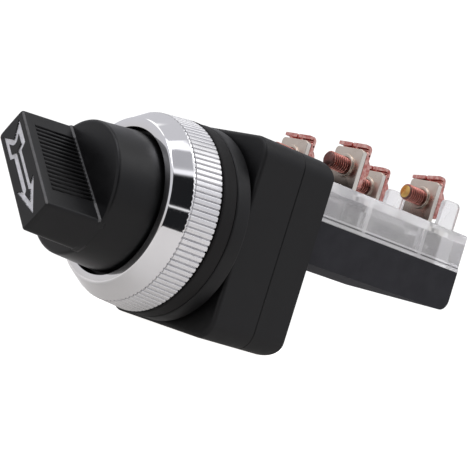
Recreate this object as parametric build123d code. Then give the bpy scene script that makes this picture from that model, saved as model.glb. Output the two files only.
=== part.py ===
from build123d import *
import math
import os

# Selector switch for a 30 mm hole. Millimetres.
# Origin: the knob's axis where it crosses the panel seat (the gasket's front face).
# Minus Y is the front (the knob), X is to the right as seen from the front, Z is up.

# fits
RUN_GAP = 0.05
LOOSE_GAP = 0.1
SCREW_GAP = 0.05

# housing
BODY_W = 33.47
BODY_H = 40.0
BODY_FRONT = 7.6
BODY_SPLIT = 18.1
BODY_REAR = 26.34
BODY_CORNER_R = 4.0
BODY_FRONT_EDGE = 0.8
BODY_REAR_EDGE = 3.0
BODY_SEAM = 0.3
NECK_R = 14.8
NECK_FRONT = -8.4
NECK_BORE_R = 12.0
NECK_CHAMFER = 0.6
WEB_FRONT = 3.4
WEB_REAR = 6.0
WEB_HOLE_R = 6.0
CAVITY_R = 13.3
CAVITY_FLOOR = 21.0
BOSS_R = 16.4
PORT_R = 2.6
PORT_Z = 9.0
HOUSING_SCREW_EDGE = 3.5
HOUSING_SCREW_X = BODY_W / 2 - HOUSING_SCREW_EDGE
HOUSING_SCREW_Z = BODY_H / 2 - HOUSING_SCREW_EDGE
HOUSING_SCREW_SEAT = 23.2
HOUSING_SCREW_TIP = 12.0
M3_R = 1.48
M3_HOLE_R = 1.5
M3_HEAD_R = 2.75
M3_HEAD_H = 2.2
COUNTERBORE_R = 3.0
DRIVE_WIDTH = 0.8

# rings under and over the panel, each a little wider than the one in front of it
KNURL_REAR_R = 19.2
KNURL_TAPER = 0.7
KNURL_FRONT_R = KNURL_REAR_R - KNURL_TAPER
COLLAR_STEP = 0.1
GASKET_R = KNURL_REAR_R + COLLAR_STEP
GASKET_BORE_R = 14.9
GASKET_REAR = 3.2
SPACER_DRAFT = 0.14
SPACER_FRONT_R = GASKET_R + COLLAR_STEP
SPACER_REAR_R = SPACER_FRONT_R + SPACER_DRAFT
SPACER_REAR = 6.5
RING_REAR = -0.3
KNURL_FRONT = -6.7
KNURL_DEPTH = 0.35
KNURL_TEETH = 104
KNURL_CHAMFER = 0.35
RING_EDGE = -10.2
RING_EDGE_R = 16.3
RING_FRONT = -10.4
RING_LIP_R = 14.4
RING_LIP_REAR = -9.4
RING_ROUND = 0.5

# knob
REST_ANGLE = 41.3
KNOB_REAR = -8.8
SKIRT_REAR_R = 13.7
SKIRT_STEP = -10.5
RIM_Y = -19.9
RIM_R = 12.9
RIM_ROUND = 0.8
FRONT_DOME = 0.15
HUB_R = 11.9
HUB_REAR = 3.0
SEAL_FRONT = -4.4
SEAL_REAR = -2.0
SEAL_GROOVE_R = 10.2
BAR_FRONT = -31.2
BAR_ROOT = -18.2
BAR_TAIL_FRONT = -12.0
BAR_TIP_FRONT = 11.5
BAR_END_BULGE = 0.05
BAR_HALF_FRONT = 3.42
BAR_HALF_REAR = 3.7
BAR_TIP_HALF_REAR = 4.15
BAR_BEVEL = 0.5
BAR_CORNER_R = 0.6
BEAD_W = 0.45
BEAD_H = 0.45
RIB_COUNT = 16
RIB_PITCH = 1.04
RIB_CENTRE = -0.65
RIB_WIDTH = 0.44
RIB_FRONT = -28.1
RIB_FLOOR = 3.1
RIB_OUTER = 3.95
ARROW_LINE = 0.95
ARROW_DEPTH = 0.35
ARROW_TIP = 10.4
ARROW_BARB = 3.3
ARROW_HALF = 2.55
ARROW_NECK = 4.3
ARROW_SHAFT_HALF = 1.15
ARROW_FLETCH_START = -4.0
ARROW_FLETCH_SLANT = -4.8
ARROW_TAIL = -10.6
ARROW_NOTCH = -7.6

# spindle, cam and detent
SPINDLE_SQ = 7.0
SPINDLE_FRONT = -12.0
SPINDLE_REAR = 12.5
SPINDLE_R = 5.95
THRUST_R = 8.0
THRUST_REAR = 6.85
CAM_FRONT = 6.9
CAM_REAR = 12.9
CAM_R = 12.4
RAMP_IN_R = 6.9
RAMP_OUT_R = 11.2
RAMP_RISE = 3.0
RAMP_LEAD = 10.0
RAMP_SPAN = 110.0
RAMP_DWELL = 8.0
TURN = 90.0
CAM_WASHER_R = 6.3
CAM_WASHER_T = 0.8
CAM_SCREW_HEAD = 2.0
CAM_SCREW_TIP = 4.0
STOP_PIN_R = 1.2
STOP_PIN_AT = 9.5
STOP_PIN_FRONT = 3.7
STOP_START = 225.0
NOTCH_R = 1.5
NOTCH_AT = 13.2
LEAF_T = 0.4
LEAF_FRONT = 9.9
LEAF_REAR = 12.7
LEAF_NOSE_R = 1.2
LEAF_NOSE_Z = -13.18
LEAF_FOOT_X = 10.2
POCKET_X = 10.4
POCKET_WALL = 3.0
POCKET_FLOOR = -BODY_H / 2 + POCKET_WALL
LEAF_KNEE_Z = POCKET_FLOOR + 5 * LEAF_T
POCKET_FRONT = 9.6

# contact block
BLOCK_HALF = 14.5
BLOCK_REAR = 71.2
BASE_TOP = 8.8
BASE_CORNER_R = 2.5
CHANNEL_HALF = 3.55
CHANNEL_FLOOR = 2.9
BLOCK_WALL_FRONT = 27.8
BLOCK_WALL_REAR = 68.2
BLOCK_SCREW_X = 11.5
BLOCK_SCREW_Z = 4.4
BLOCK_SCREW_SEAT = 67.2
BLOCK_SCREW_TIP = 21.6
COVER_TOP = 17.0
COVER_UNDER = 15.2
COVER_HALF = 14.3
COVER_IN = 12.9
COVER_LIP = 0.8
COVER_ROUND = 0.4
RIB1_Y = 40.6
RIB1_LOW = 10.3
RIB1_TOP = 13.6
RIB2_Y = 58.1
RIB2_LOW = 11.4
SIDE_RIB_T = 1.0
PANEL_FRONT = 33.6
PANEL_REAR = 39.6
PANEL_LOW = 10.4
PANEL_TOP = 14.2
PANEL_DEPTH = 0.35
WING_FRONT = 61.1
WING_REAR = 66.2
WING_TOP = 22.7
WING_T = 1.0
WING_IN = 2.5
WING_ROUND = 1.2

# terminals
COLUMN_X = 8.5
FRONT_ROW = 35.6
REAR_ROW = 59.6
PLATE_T = 1.2
PLATE_HALF = 4.1
PLATE_TOP = 25.6
PLATE_ROUND = 0.8
FOOT_LOW = 15.0
FRONT_LEG = 40.8
REAR_LEG = 64.8
LEG_HALF = 2.9
TAB_OUT = 14.1
TAB_LENGTH = 1.8
SCREW_Z = 21.7
COLLAR_R = 2.45
COLLAR_LENGTH = 0.5
TAP_R = 1.8
TERMINAL_SCREW_R = 1.75
TERMINAL_HEAD_R = 3.5
TERMINAL_HEAD_H = 2.2
TERMINAL_SCREW_REACH = 5.0
WASHER_T = 1.2
WASHER_HALF = 4.0
WASHER_HOLE_R = 1.9
WASHER_LIP_H = 1.1
WASHER_LIP_REACH = 0.9
WASHER_LIP_IN = 0.25
WASHER_LIP_GAP = 0.45
WASHER_TURN = 5.0
CLAMP_GAP = 0.05

# contacts and slider
RIVET_R = 1.6
RIVET_SHANK_R = 0.8
RIVET_H = 0.8
CONTACT_Z = 11.5
CONTACT_GAP = 0.05
BUTTON_R = 1.5
BUTTON_H = 0.6
BRIDGE_HALF_X = 10.6
BRIDGE_HALF_Z = 1.9
BRIDGE_T = 0.8
PIN_R = 2.5
TIP_GAP = 0.13
CARRIER_FRONT = 28.5
CARRIER_REAR = 63.0
CARRIER_HALF = 3.5
CARRIER_LOW = 3.0
CARRIER_TOP = 14.9
WINDOW_HALF_Z = 2.2
WINDOW_LENGTH = 7.0
CONTACT_SPRING_R = 1.6
CONTACT_WIRE = 0.4
CONTACT_TURNS = 4
RETURN_SPRING_R = 2.3
RETURN_WIRE = 0.5
RETURN_TURNS = 3
SPRING_BOSS_R = 1.6
SPRING_BOSS_H = 1.0


def block(x0, x1, y0, y1, z0, z1):
    """A box between six planes."""
    return Pos((x0 + x1) / 2, (y0 + y1) / 2, (z0 + z1) / 2) * Box(x1 - x0, y1 - y0, z1 - z0)


def rod(x, z, radius, y0, y1):
    """A round bar along Y."""
    return Pos(x, (y0 + y1) / 2, z) * Rot(90, 0, 0) * Cylinder(radius, y1 - y0)


def prism(sketch, y0, y1):
    """A flat shape drawn in X and Z, drawn out along Y."""
    return extrude(Plane.XZ.offset(-y0) * sketch, amount=y1 - y0, dir=(0, 1, 0))


def turned(points):
    """A body turned about the Y axis from radius and Y pairs."""
    return revolve(make_face(Polyline(*points, close=True)), Axis.Y, 360)


def cross_drive(x, z, reach, y0, y1):
    """The two crossed slots in a screw's head."""
    half = DRIVE_WIDTH / 2
    level = block(x - reach, x + reach, y0, y1, z - half, z + half)
    upright = block(x - half, x + half, y0, y1, z - reach, z + reach)
    return level + upright


def ring_sector(inner, outer, start, span):
    """A flat sector of a ring, by its angles from X towards Z."""
    wedge_r = 2 * outer
    steps = 12
    rim = [
        (
            wedge_r * math.cos(math.radians(start + span * i / steps)),
            wedge_r * math.sin(math.radians(start + span * i / steps)),
        )
        for i in range(steps + 1)
    ]
    wedge = make_face(Polyline((0, 0), *rim, close=True))
    return (Circle(outer) - Circle(inner)) & wedge


def polar(radius, angle):
    """A point at an angle from X towards Z."""
    return radius * math.cos(math.radians(angle)), radius * math.sin(math.radians(angle))


def housing_outline():
    """The outer shape of both halves, with its rounded corners and edges."""
    plan = prism(RectangleRounded(BODY_W, BODY_H, BODY_CORNER_R), BODY_FRONT, BODY_REAR)
    side = RectangleRounded(2 * (BODY_REAR - BODY_FRONT), BODY_H, BODY_REAR_EDGE)
    profile = extrude(Plane.YZ * Pos(BODY_FRONT, 0) * side, amount=BODY_W, both=True)
    return plan & profile


def front_housing():
    whole = housing_outline()
    cut = 2 * BODY_W
    half = whole & block(-cut, cut, BODY_FRONT, BODY_SPLIT, -cut, cut)
    front_edges = half.faces().sort_by(Axis.Y)[0].edges()
    half = fillet(front_edges, BODY_FRONT_EDGE)
    half = half + rod(0, 0, BOSS_R, SPACER_REAR, BODY_FRONT + NECK_CHAMFER)
    neck = rod(0, 0, NECK_R, NECK_FRONT, BODY_FRONT + NECK_CHAMFER)
    neck = chamfer(neck.edges().group_by(Axis.Y)[0], NECK_CHAMFER)
    half = half + neck
    half = half - rod(0, 0, NECK_BORE_R, NECK_FRONT, WEB_FRONT)
    half = half - rod(0, 0, WEB_HOLE_R, WEB_FRONT, WEB_REAR)
    half = half - rod(0, 0, CAVITY_R, WEB_REAR, BODY_SPLIT)
    half = half - block(-POCKET_X, POCKET_X, POCKET_FRONT, BODY_SPLIT, POCKET_FLOOR, 0)
    stop_mid = CenterArc((0, 0), STOP_PIN_AT, STOP_START - TURN, TURN)
    slot = SlotArc(stop_mid, 2 * (STOP_PIN_R + LOOSE_GAP))
    half = half - prism(slot, WEB_FRONT, WEB_REAR)
    for x in (-HOUSING_SCREW_X, HOUSING_SCREW_X):
        for z in (-HOUSING_SCREW_Z, HOUSING_SCREW_Z):
            half = half - rod(x, z, M3_HOLE_R, HOUSING_SCREW_TIP - LOOSE_GAP, BODY_SPLIT)
    return half


def rear_housing():
    cut = 2 * BODY_W
    half = housing_outline() & block(-cut, cut, BODY_SPLIT, BODY_REAR, -cut, cut)
    seam = half.faces().sort_by(Axis.Y)[0].edges()
    half = chamfer(seam, BODY_SEAM)
    half = half - rod(0, 0, CAVITY_R, BODY_SPLIT, CAVITY_FLOOR)
    for z in (-PORT_Z, PORT_Z):
        half = half - rod(0, z, PORT_R, CAVITY_FLOOR, BODY_REAR)
    for x in (-BLOCK_SCREW_X, BLOCK_SCREW_X):
        for z in (-BLOCK_SCREW_Z, BLOCK_SCREW_Z):
            half = half - rod(x, z, M3_HOLE_R, CAVITY_FLOOR, BODY_REAR)
    for x in (-HOUSING_SCREW_X, HOUSING_SCREW_X):
        for z in (-HOUSING_SCREW_Z, HOUSING_SCREW_Z):
            half = half - rod(x, z, M3_HOLE_R + LOOSE_GAP, BODY_SPLIT, HOUSING_SCREW_SEAT)
            half = half - rod(x, z, COUNTERBORE_R, HOUSING_SCREW_SEAT, BODY_REAR)
    return half


def screw(x, z, radius, head_r, head_h, tip, seat):
    """A pan-head screw along Y with its head at the rear."""
    head = rod(x, z, head_r, seat, seat + head_h)
    head = fillet(head.edges().group_by(Axis.Y)[-1], head_h / 3)
    body = head + rod(x, z, radius, tip, seat)
    return body - cross_drive(x, z, head_r * 0.6, seat + head_h / 2, seat + head_h)


def housing_screws():
    solids = []
    for x in (-HOUSING_SCREW_X, HOUSING_SCREW_X):
        for z in (-HOUSING_SCREW_Z, HOUSING_SCREW_Z):
            one = screw(x, z, M3_R, M3_HEAD_R, M3_HEAD_H, HOUSING_SCREW_TIP, HOUSING_SCREW_SEAT)
            solids.append(one)
    return Compound(children=solids)


def gasket():
    ring = rod(0, 0, GASKET_R, 0, GASKET_REAR) - rod(0, 0, GASKET_BORE_R, 0, GASKET_REAR)
    rims = ring.edges().filter_by(GeomType.CIRCLE).sort_by(SortBy.RADIUS)[-2:]
    return fillet(rims, BODY_SEAM)


def spacer_ring():
    return turned([
        (GASKET_BORE_R, GASKET_REAR),
        (SPACER_FRONT_R - BODY_SEAM, GASKET_REAR),
        (SPACER_FRONT_R, GASKET_REAR + BODY_SEAM),
        (SPACER_REAR_R, SPACER_REAR - BODY_SEAM),
        (SPACER_REAR_R - BODY_SEAM, SPACER_REAR),
        (GASKET_BORE_R, SPACER_REAR),
    ])


def toothed_wire(outer, y):
    """The knurl's outline at one height: a tooth and a valley in turn."""
    points = []
    for i in range(2 * KNURL_TEETH):
        radius = outer - KNURL_DEPTH * (i % 2)
        points.append(polar(radius, 180.0 * i / KNURL_TEETH))
    return Plane.XZ.offset(-y) * Polyline(*points, close=True)


def locking_ring():
    faces = [make_face(toothed_wire(KNURL_FRONT_R, KNURL_FRONT)), make_face(toothed_wire(KNURL_REAR_R, RING_REAR))]
    knurl = loft(faces, ruled=True)
    envelope = turned([
        (0, KNURL_FRONT),
        (KNURL_FRONT_R, KNURL_FRONT),
        (KNURL_REAR_R, RING_REAR - KNURL_CHAMFER),
        (KNURL_REAR_R - KNURL_CHAMFER, RING_REAR),
        (0, RING_REAR),
    ])
    knurl = knurl & envelope
    nose = turned([
        (0, KNURL_FRONT),
        (KNURL_FRONT_R, KNURL_FRONT),
        (RING_EDGE_R, RING_EDGE),
        (RING_EDGE_R - RING_ROUND, RING_FRONT),
        (0, RING_FRONT),
    ])
    ring = knurl + nose
    bore = NECK_R + RUN_GAP
    ring = ring - rod(0, 0, bore, RING_LIP_REAR, RING_REAR)
    return ring - rod(0, 0, RING_LIP_R, RING_FRONT, RING_LIP_REAR)


def inset(points, width):
    """The same outline moved inwards by a line's width, corner by corner."""
    moved = []
    count = len(points)
    for i in range(count):
        before = Vector(*points[i]) - Vector(*points[i - 1])
        after = Vector(*points[(i + 1) % count]) - Vector(*points[i])
        before = before.normalized()
        after = after.normalized()
        turn = before.X * after.Y - before.Y * after.X
        reach = width / turn
        moved.append((points[i][0] + reach * (before.X - after.X), points[i][1] + reach * (before.Y - after.Y)))
    return moved


def arrow_outline():
    """The pointer's outline with its tail, as a band one line wide."""
    upper = [
        (ARROW_TIP, 0),
        (ARROW_BARB, ARROW_HALF),
        (ARROW_NECK, ARROW_SHAFT_HALF),
        (ARROW_FLETCH_START, ARROW_SHAFT_HALF),
        (ARROW_FLETCH_SLANT, ARROW_HALF),
        (ARROW_TAIL, ARROW_HALF),
        (ARROW_NOTCH, 0),
    ]
    lower = [(t, -s) for t, s in reversed(upper[1:-1])]
    points = [*upper, *lower]
    outer = make_face(Polyline(*points, close=True))
    return outer - make_face(Polyline(*inset(points, -ARROW_LINE), close=True))


def bar_section(y, tail, tip, tail_half, tip_half, tail_bulge, tip_bulge):
    """The bar's outline at one height: two straight sides and two bowed ends."""
    outline = Line((tail, -tail_half), (tip, -tip_half))
    outline += ThreePointArc((tip, -tip_half), (tip + tip_bulge, 0), (tip, tip_half))
    outline += Line((tip, tip_half), (tail, tail_half))
    outline += ThreePointArc((tail, tail_half), (tail - tail_bulge, 0), (tail, -tail_half))
    return make_face(Plane.XZ.offset(-y) * outline)


def grip_bar():
    """The raised bar. Its ends are nearly flat in front and lie in the skirt's cone at the root."""
    front = bar_section(BAR_FRONT, BAR_TAIL_FRONT, BAR_TIP_FRONT, BAR_HALF_FRONT, BAR_HALF_FRONT,
                        BAR_END_BULGE, BAR_END_BULGE)
    slope = (SKIRT_REAR_R - RIM_R) / (SKIRT_STEP - RIM_Y)
    root_r = RIM_R + slope * (BAR_ROOT - RIM_Y)
    tail = math.sqrt(root_r ** 2 - BAR_HALF_REAR ** 2)
    tip = math.sqrt(root_r ** 2 - BAR_TIP_HALF_REAR ** 2)
    rear = bar_section(BAR_ROOT, -tail, tip, BAR_HALF_REAR, BAR_TIP_HALF_REAR, root_r - tail, root_r - tip)
    bar = loft([front, rear], ruled=True)
    uprights = bar.edges().filter_by(lambda e: abs(e.tangent_at(0).Y) > 0.7)
    bar = fillet(uprights, BAR_CORNER_R)
    return fillet(bar.faces().sort_by(Axis.Y)[0].edges(), BAR_BEVEL)


def root_bead():
    """The sloping bead where the bar stands on the skirt's front."""
    faces = []
    for y, out in ((RIM_Y - BEAD_H, 0), (RIM_Y, BEAD_W)):
        down = (y - BAR_FRONT) / (BAR_ROOT - BAR_FRONT)
        tail = BAR_HALF_FRONT + (BAR_HALF_REAR - BAR_HALF_FRONT) * down + out
        tip = BAR_HALF_FRONT + (BAR_TIP_HALF_REAR - BAR_HALF_FRONT) * down + out
        outline = Polyline((-RIM_R, -tail), (RIM_R, -tip), (RIM_R, tip), (-RIM_R, tail), close=True)
        faces.append(make_face(Plane.XZ.offset(-y) * outline))
    return loft(faces, ruled=True) & rod(0, 0, RIM_R - LOOSE_GAP, BAR_FRONT, RIM_Y)


def knob():
    skirt = turned([
        (0, KNOB_REAR),
        (SKIRT_REAR_R, KNOB_REAR),
        (SKIRT_REAR_R, SKIRT_STEP),
        (RIM_R, RIM_Y),
        (0, RIM_Y - FRONT_DOME),
    ])
    rim = skirt.edges().filter_by(GeomType.CIRCLE).sort_by(Axis.Y)[0]
    skirt = fillet(rim, RIM_ROUND)
    body = skirt + grip_bar() + root_bead()
    first = RIB_CENTRE - RIB_PITCH * (RIB_COUNT - 1) / 2
    grooves = []
    for i in range(RIB_COUNT):
        t = first + RIB_PITCH * i
        half = RIB_WIDTH / 2
        grooves.append(block(t - half, t + half, RIB_FRONT, RIM_Y - BEAD_H, RIB_FLOOR, RIB_OUTER))
        grooves.append(block(t - half, t + half, RIB_FRONT, RIM_Y - BEAD_H, -RIB_OUTER, -RIB_FLOOR))
    body = body - grooves
    body = body - prism(arrow_outline(), BAR_FRONT, BAR_FRONT + ARROW_DEPTH)
    hub = rod(0, 0, HUB_R, KNOB_REAR, HUB_REAR)
    groove = rod(0, 0, HUB_R + 1, SEAL_FRONT, SEAL_REAR) - rod(0, 0, SEAL_GROOVE_R, SEAL_FRONT, SEAL_REAR)
    body = body + (hub - groove)
    half = SPINDLE_SQ / 2
    body = body - block(-half, half, SPINDLE_FRONT, HUB_REAR, -half, half)
    return Rot(0, REST_ANGLE, 0) * body


def knob_seal():
    wire_r = (SEAL_REAR - SEAL_FRONT) / 2 - RUN_GAP
    middle = SEAL_GROOVE_R + wire_r
    ring = Pos(0, (SEAL_FRONT + SEAL_REAR) / 2, 0) * Rot(90, 0, 0) * Torus(middle, wire_r)
    land = NECK_BORE_R - RUN_GAP
    return ring & rod(0, 0, land, SEAL_FRONT, SEAL_REAR)


def spindle():
    half = SPINDLE_SQ / 2
    shaft = block(-half, half, SPINDLE_FRONT, SPINDLE_REAR, -half, half)
    shaft = shaft + rod(0, 0, SPINDLE_R, HUB_REAR, THRUST_REAR)
    shaft = shaft - rod(0, 0, M3_HOLE_R, CAM_SCREW_TIP - LOOSE_GAP, SPINDLE_REAR)
    return Rot(0, REST_ANGLE, 0) * shaft


def cam_ramp():
    """A ramp whose height grows evenly with the angle: a sector twisted as it is drawn out."""
    start = TURN - RAMP_LEAD
    rise = RAMP_RISE * RAMP_SPAN / TURN
    span = RAMP_SPAN + RAMP_DWELL
    section = Plane.XZ.offset(-CAM_REAR) * ring_sector(RAMP_IN_R, RAMP_OUT_R, start, span)
    twisted = Solid.extrude_linear_with_rotation(section.face(), (0, CAM_REAR, 0), (0, rise, 0), -RAMP_SPAN)
    straight = prism(ring_sector(RAMP_IN_R, RAMP_OUT_R, start, span), CAM_REAR, CAM_REAR + rise)
    return twisted & straight


def cam():
    disc = rod(0, 0, CAM_R, CAM_FRONT, CAM_REAR)
    for angle in (-TURN, 0):
        x, z = polar(NOTCH_AT, angle)
        disc = disc - rod(x, z, NOTCH_R, CAM_FRONT, CAM_REAR)
    x, z = polar(STOP_PIN_AT, STOP_START)
    disc = disc + rod(x, z, STOP_PIN_R, STOP_PIN_FRONT, CAM_FRONT)
    disc = disc + cam_ramp()
    half = SPINDLE_SQ / 2
    square = Rot(0, REST_ANGLE, 0) * block(-half, half, CAM_FRONT, CAM_REAR, -half, half)
    return disc - square


def washer_disc(outer, inner, y0, y1):
    return rod(0, 0, outer, y0, y1) - rod(0, 0, inner, y0, y1)


def detent_spring():
    """A bent leaf: two feet, two arms and a round nose that sits in the cam's notch."""
    knee_x, knee_z = LEAF_FOOT_X - 2 * LEAF_T, LEAF_KNEE_Z
    nose_x = LEAF_NOSE_R * math.cos(math.radians(20))
    nose_z = LEAF_NOSE_Z + LEAF_NOSE_R * math.sin(math.radians(20))
    foot_z = POCKET_FLOOR + LEAF_T / 2
    left = Polyline((-LEAF_FOOT_X, foot_z), (-knee_x, knee_z), (-nose_x, nose_z))
    nose = ThreePointArc((-nose_x, nose_z), (0, LEAF_NOSE_Z + LEAF_NOSE_R), (nose_x, nose_z))
    right = Polyline((nose_x, nose_z), (knee_x, knee_z), (LEAF_FOOT_X, foot_z))
    return prism(trace(left + nose + right, LEAF_T), LEAF_FRONT, LEAF_REAR)


def block_base():
    body = block(-BLOCK_HALF, BLOCK_HALF, BODY_REAR, BLOCK_REAR, 0, BASE_TOP)
    corner = body.edges().filter_by(Axis.X).sort_by(Axis.Z)[:2].sort_by(Axis.Y)[-1]
    body = fillet(corner, BASE_CORNER_R)
    body = body - block(-CHANNEL_HALF, CHANNEL_HALF, BLOCK_WALL_FRONT, BLOCK_WALL_REAR, CHANNEL_FLOOR, BASE_TOP)
    body = body - rod(0, PORT_Z, PORT_R, BODY_REAR, BLOCK_WALL_FRONT)
    for x in (-BLOCK_SCREW_X, BLOCK_SCREW_X):
        body = body - rod(x, BLOCK_SCREW_Z, M3_HOLE_R + LOOSE_GAP, BODY_REAR, BLOCK_SCREW_SEAT)
        body = body - rod(x, BLOCK_SCREW_Z, COUNTERBORE_R, BLOCK_SCREW_SEAT, BLOCK_REAR)
    return body


def foot_pocket(x, row, leg):
    """Room in the cover for one terminal's foot, plate and tab."""
    side = math.copysign(1, x)
    gap = SCREW_GAP
    foot = block(x - PLATE_HALF - gap, x + PLATE_HALF + gap, row - gap, leg + PLATE_T + gap,
                 COVER_UNDER - 1, FOOT_LOW + PLATE_T)
    plate = block(x - PLATE_HALF - gap, x + PLATE_HALF + gap, row - gap, row + PLATE_T + gap,
                  FOOT_LOW, COVER_TOP)
    reach = sorted((x, side * (TAB_OUT + gap)))
    tab = block(*reach, row + PLATE_T, row + PLATE_T + TAB_LENGTH, FOOT_LOW, FOOT_LOW + PLATE_T)
    return foot + plate + tab


def block_cover():
    body = block(-COVER_HALF, COVER_HALF, BODY_REAR, BLOCK_REAR, BASE_TOP, COVER_TOP)
    body = fillet(body.faces().sort_by(Axis.Z)[-1].edges().sort_by(Axis.Y)[1:], COVER_ROUND)
    body = body + block(-BLOCK_HALF, BLOCK_HALF, BODY_REAR, BLOCK_REAR, BASE_TOP, BASE_TOP + COVER_LIP)
    body = body - block(-COVER_IN, COVER_IN, BLOCK_WALL_FRONT, BLOCK_WALL_REAR, BASE_TOP, COVER_UNDER)
    for side in (-1, 1):
        ends = sorted((side * COVER_IN, side * (COVER_IN - SIDE_RIB_T)))
        half = SIDE_RIB_T / 2
        body = body + block(*ends, RIB1_Y - half, RIB1_Y + half, RIB1_LOW, RIB1_TOP)
        body = body + block(*ends, RIB2_Y - half, RIB2_Y + half, RIB2_LOW, COVER_UNDER)
        skin = sorted((side * COVER_HALF, side * (COVER_HALF - PANEL_DEPTH)))
        body = body - block(*skin, PANEL_FRONT, PANEL_REAR, PANEL_LOW, PANEL_TOP)
        outer = sorted((side * COVER_HALF, side * (COVER_HALF - WING_T)))
        inner = sorted((side * WING_IN, side * (WING_IN + WING_T)))
        for ends in (outer, inner):
            wing = block(*ends, WING_FRONT, WING_REAR, COVER_TOP - COVER_ROUND, WING_TOP)
            tops = wing.edges().filter_by(Axis.X).sort_by(Axis.Z)[-2:]
            body = body + fillet(tops, WING_ROUND)
    for x in (-COLUMN_X, COLUMN_X):
        body = body - foot_pocket(x, FRONT_ROW, FRONT_LEG)
        body = body - foot_pocket(x, REAR_ROW, REAR_LEG)
    return body - rod(0, PORT_Z, PORT_R, BODY_REAR, BLOCK_WALL_FRONT)


def block_screws():
    solids = []
    for x in (-BLOCK_SCREW_X, BLOCK_SCREW_X):
        one = screw(x, BLOCK_SCREW_Z, M3_R, M3_HEAD_R, M3_HEAD_H, BLOCK_SCREW_TIP, BLOCK_SCREW_SEAT)
        solids.append(one)
    return Compound(children=solids)


def terminal(x, row, leg):
    side = math.copysign(1, x)
    plate = block(x - PLATE_HALF, x + PLATE_HALF, row, row + PLATE_T, FOOT_LOW, PLATE_TOP)
    corners = plate.edges().filter_by(Axis.Y).sort_by(Axis.Z)[-2:]
    body = fillet(corners, PLATE_ROUND)
    body = body + block(x - PLATE_HALF, x + PLATE_HALF, row, leg + PLATE_T, FOOT_LOW, FOOT_LOW + PLATE_T)
    body = body + block(x - LEG_HALF, x + LEG_HALF, leg, leg + PLATE_T, BASE_TOP, FOOT_LOW + PLATE_T)
    reach = sorted((x, side * TAB_OUT))
    body = body + block(*reach, row + PLATE_T, row + PLATE_T + TAB_LENGTH, FOOT_LOW, FOOT_LOW + PLATE_T)
    bend = body.edges().filter_by(Axis.X).filter_by_position(Axis.Y, row - RUN_GAP, row + RUN_GAP)
    body = fillet(bend.sort_by(Axis.Z)[0], PLATE_ROUND)
    collar = rod(x, SCREW_Z, COLLAR_R, row - COLLAR_LENGTH, row + PLATE_T)
    collar = chamfer(collar.edges().group_by(Axis.Y)[0], BODY_SEAM)
    body = body + collar
    body = body - rod(x, SCREW_Z, TAP_R, row - COLLAR_LENGTH, row + PLATE_T)
    return body - rod(x, CONTACT_Z, RIVET_SHANK_R, leg, leg + PLATE_T)


def terminal_screw(x, row):
    seat = row + PLATE_T + CLAMP_GAP + WASHER_T
    tip = row - TERMINAL_SCREW_REACH
    return screw(x, SCREW_Z, TERMINAL_SCREW_R, TERMINAL_HEAD_R, TERMINAL_HEAD_H, tip, seat)


def clamp_washer(x, row, turn):
    """A square washer with two lips folded over the plate's top edge, turned a little about its screw."""
    front = row + PLATE_T + CLAMP_GAP
    rear = front + WASHER_T
    low = SCREW_Z - WASHER_HALF
    top = SCREW_Z + WASHER_HALF
    body = block(x - WASHER_HALF, x + WASHER_HALF, front, rear, low, top)
    for side in (-1, 1):
        ends = sorted((x + side * WASHER_LIP_IN, x + side * WASHER_HALF))
        lip_low = PLATE_TOP + WASHER_LIP_GAP
        lip = block(*ends, front - WASHER_LIP_REACH, rear, lip_low, top + WASHER_LIP_H)
        edge = lip.edges().filter_by(Axis.X).sort_by(Axis.Z)[-2:].sort_by(Axis.Y)[-1]
        body = body + fillet(edge, WASHER_LIP_H / 2) + block(*ends, front, rear, SCREW_Z + WASHER_HOLE_R, lip_low)
    body = body - rod(x, SCREW_Z, WASHER_HOLE_R, front, rear)
    return Pos(x, 0, SCREW_Z) * Rot(0, -turn, 0) * Pos(-x, 0, -SCREW_Z) * body


def fixed_contacts():
    """Four rivets on the terminals' legs, each with its head on the bridge's side."""
    solids = []
    for x in (-COLUMN_X, COLUMN_X):
        shank = rod(x, CONTACT_Z, RIVET_SHANK_R, FRONT_LEG, FRONT_LEG + PLATE_T)
        head_at = FRONT_LEG + PLATE_T
        solids.append(shank + rod(x, CONTACT_Z, RIVET_R, head_at, head_at + RIVET_H))
        shank = rod(x, CONTACT_Z, RIVET_SHANK_R, REAR_LEG, REAR_LEG + PLATE_T)
        solids.append(shank + rod(x, CONTACT_Z, RIVET_R, REAR_LEG - RIVET_H, REAR_LEG))
    return Compound(children=solids)


def nc_strip_front():
    return FRONT_LEG + PLATE_T + RIVET_H + CONTACT_GAP + BUTTON_H


def no_strip_rear():
    return REAR_LEG - RIVET_H - CONTACT_GAP - RAMP_RISE - BUTTON_H


def bridge(y0, button0, button1):
    """A copper strip across both columns with a silver button at each end."""
    body = block(-BRIDGE_HALF_X, BRIDGE_HALF_X, y0, y0 + BRIDGE_T,
                 CONTACT_Z - BRIDGE_HALF_Z, CONTACT_Z + BRIDGE_HALF_Z)
    body = fillet(body.edges().filter_by(Axis.Y), BRIDGE_HALF_Z / 2)
    for x in (-COLUMN_X, COLUMN_X):
        body = body + rod(x, CONTACT_Z, BUTTON_R, button0, button1)
    return body


def nc_bridge():
    front = nc_strip_front()
    return bridge(front, front - BUTTON_H, front)


def no_bridge():
    rear = no_strip_rear()
    return bridge(rear - BRIDGE_T, rear, rear + BUTTON_H)


def plunger_tip_y():
    """Where the pin's round end stands off the ramp at rest."""
    return CAM_REAR + RAMP_RISE * RAMP_LEAD / TURN + TIP_GAP


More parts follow.
